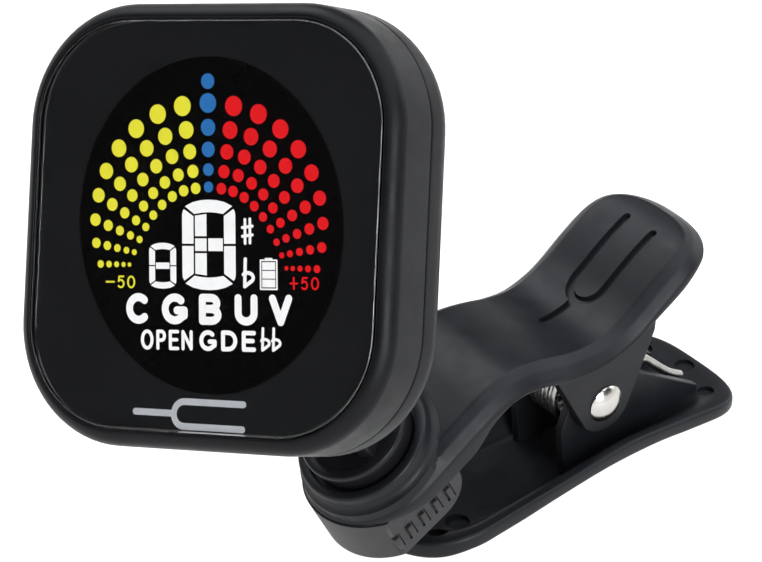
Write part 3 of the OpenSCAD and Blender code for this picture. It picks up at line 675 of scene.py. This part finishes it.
def stroke(points, width):
    """A pen stroke as round-ended outlines, one for each stretch between two points."""
    half = width / 2
    out = []
    for (ax, ay), (bx, by) in zip(points, points[1:]):
        if math.dist((ax, ay), (bx, by)) < 1e-6:
            continue
        a = math.atan2(by - ay, bx - ax)
        start = [(ax + half * math.cos(a + t), ay + half * math.sin(a + t)) for t in arc_steps(90, 270, 8)]
        end = [(bx + half * math.cos(a + t), by + half * math.sin(a + t)) for t in arc_steps(-90, 90, 8)]
        out.append(start + end)
    return out


def glyph(name, left, right, low, high, width):
    """The strokes of one sign fitted to a box, measured to the outside of the strokes."""
    half, wide, tall = width / 2, right - left - width, high - low - width
    out = []
    for line in GLYPHS[name]:
        out += stroke([(left + half + wide * x, low + half + tall * y) for x, y in line], width)
    return out


def written(signs, low, high, width):
    """A row of signs, each given as its name, left and right."""
    return [shape for name, left, right in signs for shape in glyph(name, left, right, low, high, width)]


def battery_sign(left, right, low, high):
    """A battery's frame and cap round three full cells."""
    frame_line = [(left, low), (right, low), (right, high), (left, high), (left, low)]
    shapes = stroke(frame_line, 0.17) + [box_of(left + 0.55, right - 0.55, high, high + 0.24)]
    step = (high - low - 0.3) / 3
    for i in range(3):
        shapes.append(box_of(left + 0.2, right - 0.2, low + 0.2 + step * i, low + 0.1 + step * (i + 1)))
    return shapes


def display_legend():
    """Segment digits, the row of instrument letters, the tuning row, cents at both ends and a battery."""
    upper_bar = [(0.244, 0.596), (0.458, 0.596), (0.458, 0.842), (0.244, 0.824)]
    lower_bar = [(x, 1.004 - y) for x, y in upper_bar[::-1]]
    bars = [upper_bar, lower_bar, box_of(0.244, 0.458, 0.432, 0.572), box_of(0.492, 0.763, 0.432, 0.572)]
    white = digit((-3.43, -6.73, 3.37, 2.88), bars)
    white += digit((-7.74, -6.62, -4.25, -1.71), [box_of(0.25, 0.75, 0.43, 0.568)])
    white += written([("C", -10.8, -7.68), ("G", -6.15, -2.82), ("B", -1.35, 1.51), ("U", 3.21, 6.09),
                      ("V", 7.55, 10.45)], -10.42, -7.12, 0.86)
    white += written([("O", -8.9, -7.27), ("P", -6.89, -5.65), ("E", -5.27, -3.94), ("N", -3.63, -2.2)],
                     -13.17, -11.0, 0.38)
    white += written([("G", -1.33, 0.87), ("D", 1.45, 3.49), ("E", 4.08, 5.85)], -13.19, -10.97, 0.48)
    white += written([("flat", 6.52, 7.77), ("flat", 7.88, 9.13)], -13.14, -10.55, 0.32)
    white += glyph("sharp", 4.1, 5.68, -1.91, 0.98, 0.32)
    white += glyph("flat", 4.31, 5.89, -6.5, -3.22, 0.4)
    white += battery_sign(6.53, 8.56, -6.57, -3.52)
    printed("display_legend", white, LEGEND, "white")
    below = [("-", -13.48, -12.28), ("5", -11.97, -10.96), ("O", -10.65, -9.61)]
    above = [("+", 10.15, 11.2), ("5", 11.54, 12.48), ("O", 12.82, 13.81)]
    printed("display_cents_flat", written(below, -6.62, -5.25, 0.2), LEGEND, "yellow")
    printed("display_cents_sharp", written(above, -6.62, -5.25, 0.2), LEGEND, "red")


# ---------------------------------------------------------------- clip

JAW_HALF = 9.4
NOSE_R = 9.4
LEVER_END = 42.2
LEVER_CORNER = 8.0
LEVER_POWER = 2.6
FULL_DROP = 2.1
LEAST_T = 0.35
# (y, top, underside) along the upper jaw's middle, from the nose to the lever's end
PLATE = smooth_curve([
    (-11.5, 6.5, 4.8), (-6, 10.2, 7), (-0.7, 13.6, 9.1), (2.2, 15.5, 10.8), (5, 17.2, 12.6),
    (7.4, 18.5, 15.3), (10.9, 19.6, 17.1), (13.8, 19.6, 17.1), (16.8, 19.1, 16.4), (19.8, 18.4, 16),
    (22.9, 18.1, 15.9), (25.9, 18.7, 16.5), (28.9, 20.3, 17.7), (31.9, 22.5, 19.4), (34.9, 24.5, 21.2),
    (37.9, 25.9, 23), (42.2, 26.5, 24.6)], 6)
LIP_R = 8.1
WELL_R = 6.9


def jaw_level(y, drop, from_top):
    """A height in the upper jaw: a drop below its top or above its underside, less where it is thin."""
    top, under = at(PLATE, y)
    share = min(1.0, (top - under - LEAST_T) / FULL_DROP)
    return top - drop * share if from_top else under + drop * share


def jaw_point(x, across_y, drop, from_top):
    """A point of the nose's skin, across_y from the boss's axis and found along that axis by halving."""
    low, high = -16.0, 2.0
    for _ in range(40):
        h = (low + high) / 2
        y = TABLE_Y + across_y * math.cos(SLOPE) - h * math.sin(SLOPE)
        z = TABLE_Z + across_y * math.sin(SLOPE) + h * math.cos(SLOPE)
        low, high = (low, h) if z > jaw_level(y, drop, from_top) else (h, high)
    return (x, y, z)


def jaw_half_ring(inset, drop, from_top):
    """Half of one contour of the upper jaw, from the nose's tip back along one side to the lever's end."""
    r, w = NOSE_R - inset, JAW_HALF - inset
    half = [jaw_point(r * math.sin(a), -r * math.cos(a), drop, from_top) for a in arc_steps(0, 90, 16)]
    start, corner = half[-1][1], LEVER_END - LEVER_CORNER
    plan = [(w, start + (corner - start) * k / 44) for k in range(1, 45)]
    reach, power = LEVER_CORNER - inset, 2 / LEVER_POWER
    for a in arc_steps(0, 90, 16)[1:]:
        plan.append((w * max(math.cos(a), 0) ** power, corner + reach * math.sin(a) ** power))
    plan[-1] = (0, corner + reach)
    return half + [(x, y, jaw_level(y, drop, from_top)) for x, y in plan]


def full_ring(half):
    """A half contour and its mirror image, closed."""
    return half + [(-x, y, z) for x, y, z in half[-2:0:-1]]


def strips(half, first, across_n=8):
    """Rows of faces that close a symmetric contour from side to side."""
    verts = [half[0]]
    rows = [[first]]
    for x, y, z in half[1:-1]:
        row = [first + len(verts) + k for k in range(across_n + 1)]
        verts += [(x - 2 * x * k / across_n, y, z) for k in range(across_n + 1)]
        rows.append(row)
    rows.append([first + len(verts)])
    verts.append(half[-1])
    faces = []
    for a, b in zip(rows, rows[1:]):
        if len(a) == 1:
            faces += [(a[0], b[k], b[k + 1]) for k in range(across_n)]
        elif len(b) == 1:
            faces += [(b[0], a[k + 1], a[k]) for k in range(across_n)]
        else:
            faces += [(a[k], b[k], b[k + 1], a[k + 1]) for k in range(across_n)]
    return verts, faces


def jaw_plate():
    """The upper jaw's bowed plate: contours from the top's edge down its bevelled side to the underside."""
    upper = [(2.6, 0), (2.3, 0.01), (2.14, 0.05), (2.0, 0.13), (1.3, 0.62), (1.12, 0.76), (0.96, 0.92)]
    upper += [(0.3, 1.68), (0.14, 1.92), (0.05, 2.15), (0, 2.4)]
    lower = [(0, 0.35), (0.1, 0.1), (0.35, 0)]
    halves = [jaw_half_ring(inset, drop, True) for inset, drop in upper]
    halves += [jaw_half_ring(inset, drop, False) for inset, drop in lower]
    verts, faces = loft([full_ring(h) for h in halves], cap=False)
    for half in (halves[0], halves[-1]):
        more, filled = strips(half, len(verts))
        verts += more
        faces += filled
    return built("upper_jaw_finished", verts, faces, PART)


def lever_emblem():
    """A tuning fork to be sunk into the lever: its outlines cut down to one depth under the top."""
    fork, stem = (plate(outline, 10, 40, PART) for outline in fork_outlines(0.52, 2.3, 29.2, 36.6, 22.2))
    combine(fork, [stem], "UNION")
    depth, over, side = 0.6, 2, 5
    section = [(-side, -depth), (-side, over), (side, over), (side, -depth)]
    rows = [20.5 + 0.5 * k for k in range(40)]
    skin = [[(x, y, at(PLATE, y)[0] + z) for x, z in section] for y in rows]
    combine(fork, [built("skin", *loft(skin), PART)], "INTERSECT")
    return fork


def upper_jaw():
    """The upper jaw: a bowed plate with soft bevelled sides, the turntable's boss and two ears."""
    jaw = jaw_plate()
    boss = [(3.6, -5.5), (9.1, -5.5), (8.9, -4.55), (8.45, -4.3), (8.2, -4.0), (LIP_R, -3.7)]
    boss += [(LIP_R, -2.75)]
    boss += arc(LIP_R - 0.5, -2.7, 0.5, 0.5, 10, 90, 6)
    boss += [(WELL_R + 0.22, -2.2), (WELL_R + 0.06, -2.27), (WELL_R, -2.42), (WELL_R, -3.4), (3.6, -3.4)]
    ring, core = built("boss", *loft(lathe(boss, 96), closed=True), BOSS), rod(4.0, -5.5, -3.4, BOSS)
    ear = [(33.9, 15.4), (34.4, 21.2), (28.4, 17.9), (23, 17), (17.4, 17)]
    ear += arc(PIVOT_Y, PIVOT_Z, 3.9, 3.9, 218, 336, 20)
    combine(jaw, [ring, core] + ear_pair(ear, 5.05, 6.6, PART, 0.22), "UNION")
    screw_bores = [rod(1.45, -12, -3, BOSS), rod(3.6, -12, -5.6, BOSS)]
    pin_bore = rod(1.55, -12, 12, across(PART, PIVOT_Y, PIVOT_Z))
    combine(jaw, screw_bores + [pin_bore, lever_emblem()], "DIFFERENCE")
    finished(jaw, "clip_upper", "clip_black", ["upper_jaw"], sharp=42)


def spring():
    """The torsion spring, drawn still in one place; on the clip it winds up as the jaws open: its lower leg
    stays, its upper leg turns.
    """
    coil = dressed(softened("torsion_spring", 0.05, 60), "spring_steel", ["torsion_spring"])
    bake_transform(coil)


# (y, the rim's crest, the rim's underside, the dish's floor) from the nose to the tail
TRAY = smooth_curve([
    (-2.3, -0.5, -2.7, -1.3), (1, -0.2, -2.5, -1.3), (4.5, 0.4, -1.7, -1.3), (8, 0.85, -1.2, -1.4),
    (12, 1.3, -0.75, -1.5), (16, 1.75, -0.15, -1.6), (20, 2.15, 0.4, -1.6), (24, 2.65, 0.85, -1.6),
    (28, 3, 1.05, -1.6), (32, 2.9, 1.05, -1.4), (34.5, 2.7, 0.9, -0.7), (37, 2.5, 0.65, 0.5),
    (40, 2.3, 0.4, 1.4), (44, 1.9, 0.1, 1.6), (47.3, 1.5, -0.1, 1.4)], 5)
TRAY_HALF = 9.5
TRAY_NOSE = 7.2
TRAY_TAIL = 40.5
TRAY_END = 47.3
TRAY_POWER = 3.2
TRAY_T = 1.1
RIM_W = 1.2
RIM_ROUND = 0.8
RIM_POWER = 3.4
SLOPE_W = 3.3


def tray_half(y):
    """Half of the dish's width at y."""
    if y < TRAY_NOSE:
        return math.sqrt(max(TRAY_HALF ** 2 - (TRAY_NOSE - y) ** 2, 0))
    if y > TRAY_TAIL:
        t = (y - TRAY_TAIL) / (TRAY_END - TRAY_TAIL)
        return TRAY_HALF * max(1 - t ** TRAY_POWER, 0) ** (1 / TRAY_POWER)
    return TRAY_HALF


def tray_inset(x, y):
    """How far a point lies inside the dish's outline."""
    if y < TRAY_NOSE:
        return TRAY_HALF - math.hypot(x, TRAY_NOSE - y)
    if y > TRAY_TAIL:
        t = (y - TRAY_TAIL) / (TRAY_END - TRAY_TAIL)
        return TRAY_HALF * (1 - (t ** TRAY_POWER + (abs(x) / TRAY_HALF) ** TRAY_POWER) ** (1 / TRAY_POWER))
    return TRAY_HALF - abs(x)


def eased(t):
    """A smooth step from 0 to 1."""
    t = min(max(t, 0), 1)
    return t * t * (3 - 2 * t)


def tray_skin(x, y, top):
    """A point of the dish's upper or lower skin."""
    crest, rim, floor = at(TRAY, y)
    inset = max(tray_inset(x, y), 0)
    edge = 1 - (1 - (1 - inset / RIM_ROUND) ** RIM_POWER) ** (1 / RIM_POWER) if inset < RIM_ROUND else 0
    half, dip = (crest - rim) / 2, eased((inset - RIM_W) / SLOPE_W)
    if top:
        return (x, y, crest - edge * half - dip * (crest - floor))
    return (x, y, rim + edge * half - dip * (rim - floor + TRAY_T))


def tray_dish():
    """The lower jaw's dish: a rolled rim that slopes down to a thin floor."""
    front = [TRAY_NOSE - TRAY_HALF * math.cos(a) for a in arc_steps(2.5, 90, 26)]
    middle = [TRAY_NOSE + (TRAY_TAIL - TRAY_NOSE) * k / 34 for k in range(1, 34)]
    back = [TRAY_TAIL + (TRAY_END - TRAY_TAIL) * math.sin(a) for a in arc_steps(0, 86, 22)]
    shares = [1, 0.999, 0.996, 0.991, 0.984, 0.97, 0.95, 0.93, 0.905, 0.88, 0.85, 0.81, 0.77, 0.72, 0.67,
              0.62, 0.57, 0.53, 0.4, 0.2]
    span = [-s for s in shares] + [0] + shares[::-1]
    rings = []
    for y in front + middle + back:
        half = tray_half(y)
        ring = [tray_skin(s * half, y, True) for s in span]
        rings.append(ring + [tray_skin(s * half, y, False) for s in span[-2:0:-1]])
    return built("lower_jaw_finished", *loft(rings), PART)


def lower_jaw():
    """The lower jaw: the dish, its two inner ears and the small pockets at its nose and tail."""
    jaw = tray_dish()
    ear = [(22, -2.2), (21.4, 5), (23, 9.2), (24.6, 10.7), (26.6, 11.4), (28.6, 11.1), (30.2, 10.4)]
    ear += [(33.7, 8.2), (42.9, 2.4), (42.6, 1.2), (39.5, 0.6), (36.5, -0.6), (33.5, -1.7), (30, -2.2)]
    combine(jaw, ear_pair(ear, 3.55, 4.75, PART, 0.18, 30), "UNION")
    cuts = [rod(1.5, -8, 8, across(PART, PIVOT_Y, PIVOT_Z))]
    pockets = [(4.1, 6.3, -1.9, 1.5), (4.9, 2.6, -1.8, 1.4), (5.6, 43.4, 1.2, 1.05)]
    for x, y, floor, radius in pockets + [(-q[0], *q[1:]) for q in pockets] + [(0, 45, 1.2, 1.25)]:
        cuts.append(rod(radius, floor, floor + 3, PART @ Matrix.Translation((x, y, 0)), 40))
    combine(jaw, cuts, "DIFFERENCE")
    finished(jaw, "clip_lower", "clip_black", ["lower_jaw"], sharp=40)


# ---------------------------------------------------------------- turntable and pad

PAD_SLOPE = math.radians(27)
PAD = placed(table_at, (1, 0, 0), (0, -math.sin(PAD_SLOPE), math.cos(PAD_SLOPE)))
PAD_SIDE = 7.6
BLOCK_H = -11.2
BLOCK_Y, BLOCK_STEP = -4.75, 2.05


def side_box(side, inner, outer, half, tall, place):
    """A box on one side of the pad, from inner to outer away from its middle."""
    low, high = sorted((side * inner, side * outer))
    return plate(box_of(low, high, -half, half), -tall, tall, place)


def gripping_pad():
    """The rubber pad, with five small raised blocks in sunk fields on each side."""
    pad = softened("upper_pad", 0.2, 30, 3)
    fields, blocks = [], []
    for side in (-1, 1):
        for i in range(5):
            middle = PAD @ Matrix.Translation((side * PAD_SIDE, BLOCK_Y + BLOCK_STEP * i, BLOCK_H))
            fields.append(side_box(side, -0.3, 1.0, 0.62, 1.22, middle))
            block = side_box(side, -0.5, 0.36, 0.36, 0.94, middle)
            rounded_edges(block, 0.12, 40, 3)
            blocks.append(block)
    combine(pad, fields, "DIFFERENCE")
    combine(pad, blocks, "UNION")
    finished(pad, "clip_upper", "pad_rubber", ["upper_pad"])


TABLE_R = 6.56
HINGE_H = 5.0


def turntable():
    """The turntable: a disc with a rolled edge, its skirt in the boss, and two hinge ears."""
    edge = 0.35
    profile = [(0, -3.3), (6.1, -3.3), (6.31, -3.1), (6.31, -0.8), (TABLE_R - 0.12, -0.8), (TABLE_R, -0.68)]
    profile += arc(TABLE_R - edge, -edge, edge, edge, 0, 90, 8)
    profile += [(5.2, 0.0), (5.05, -0.08), (0, -0.08)]
    table = built("swivel_base_finished", *loft(lathe(profile, 96), cap=False), TABLE)
    ear = arc(0, HINGE_H, EAR_R, EAR_R, 0, 180, 28) + [(-EAR_R, -0.3), (EAR_R, -0.3)]
    combine(table, ear_pair(ear, EAR_IN, EAR_OUT, TABLE, 0.3), "UNION")
    pin_bore, screw_bore = rod(PIN_R, -10, 10, across(TABLE, 0, HINGE_H), 32), rod(1.3, -5, -0.8, TABLE, 32)
    combine(table, [pin_bore, screw_bore], "DIFFERENCE")
    finished(table, "turntable", "turntable_black", ["swivel_base"])


front_shell()
rear_shell()
front_window()
buttons()
printed_mask()
meter_dots()
display_legend()
upper_jaw()
lower_jaw()
gripping_pad()
turntable()
refined("link_arm", "arm", "arm_black", 0.3, 3)
spring()
refined("pivot_pin", "clip_lower", "rivet_chrome", 0.08)

# the CAD pieces that are drawn as they are, and their materials
CARRIED = {
    "lcd_cell": "display", "lcd_frame": "white_plastic", "backlight": "white_plastic",
    "lcd_ribbon": "ribbon_amber", "circuit_board": "board_green", "board_chips": "chip_black",
    "tact_switches": "steel", "usb_socket": "steel", "battery_cell": "foil_silver",
    "battery_tape": "tape_black", "battery_leads": "lead_red", "piezo_disc": "piezo_brass",
    "piezo_leads": "lead_black", "case_screws": "steel", "upper_hinge_pin": "steel",
    "hinge_washers": "washer_fibre", "lower_hinge_pin": "steel", "swivel_screw": "steel",
    "swivel_washer": "steel",
}
for node, slot in CARRIED.items():
    for socket in frame["nodes"][node].material_slots:
        socket.material = MATERIALS[slot]


# ---------------------------------------------------------------- floor, light and camera

def stage_floor():
    """A pale floor with pale walls far away, the one the window mirrors kept low."""
    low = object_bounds()[0].z
    size = 12.0
    corners = [(-size, -size), (size, -size), (size, size), (-size, size)]
    points, faces = [(x, y, low) for x, y in corners], [(0, 1, 2, 3)]
    for k, height in enumerate((2.0, 4.0, 4.0, 4.0)):
        (x0, y0), (x1, y1) = corners[k], corners[(k + 1) % 4]
        faces.append(tuple(range(len(points), len(points) + 4)))
        points += [(x0, y0, low), (x1, y1, low), (x1, y1, low + height), (x0, y0, low + height)]
    mesh = bpy.data.meshes.new("floor")
    mesh.from_pydata(points, [], faces)
    floor = bpy.data.objects.new("floor", mesh)
    bpy.context.scene.collection.objects.link(floor)
    n = Nodes("pale_floor")
    floor.data.materials.append(n.set(Base_Color=(0.26, 0.26, 0.26, 1), Roughness=0.8,
                                      Emission_Color=(1, 1, 1, 1), Emission_Strength=0.95))


def softbox(name, place, aim, width, height, watts):
    """A rectangular light, slightly blue, that faces a point."""
    lamp = bpy.data.lights.new(name, "AREA")
    lamp.shape, lamp.size, lamp.size_y = "RECTANGLE", width, height
    lamp.energy, lamp.color = watts, (0.93, 0.96, 1)
    thing = bpy.data.objects.new(name, lamp)
    thing.location = place
    thing.rotation_euler = (Vector(aim) - Vector(place)).to_track_quat("-Z", "Y").to_euler()
    bpy.context.scene.collection.objects.link(thing)


def studio():
    """Soft light from four softboxes, and a dim even sky."""
    world = bpy.data.worlds.new("studio")
    world.use_nodes = True
    sky = world.node_tree.nodes["Background"]
    sky.inputs["Color"].default_value = (1, 1, 1, 1)
    sky.inputs["Strength"].default_value = 0.03
    bpy.context.scene.world = world
    centre = (0, 0.01, 0.025)
    softbox("top", (0.05, 0.12, 0.6), centre, 0.8, 0.8, 5.5)
    softbox("right", (0.58, -0.12, 0.3), centre, 0.3, 0.3, 3.6)
    softbox("left", (-0.5, 0.0, 0.5), centre, 0.4, 0.3, 1.8)
    softbox("back", (0.1, 0.6, 0.3), centre, 0.5, 0.25, 1.3)


def camera():
    """The picture's camera, its place and turn fitted to the head's corners."""
    lens = bpy.data.cameras.new("camera")
    lens.sensor_width, lens.lens, lens.sensor_fit = 36.0, 188.98, "HORIZONTAL"
    lens.clip_start, lens.clip_end = 0.01, 20.0
    thing = bpy.data.objects.new("camera", lens)
    right, up = Vector((0.617, 0.787, 0)), Vector((-0.442, 0.347, 0.827))
    right.normalize()
    back = right.cross(up).normalized()
    up = back.cross(right)
    turn = Matrix((right, up, back)).transposed().to_4x4()
    thing.matrix_world = Matrix.Translation((0.2885, -0.2279, 0.2827)) @ turn
    bpy.context.scene.collection.objects.link(thing)
    bpy.context.scene.camera = thing
    bpy.context.scene.view_settings.view_transform = "Standard"


stage_floor()
studio()
camera()
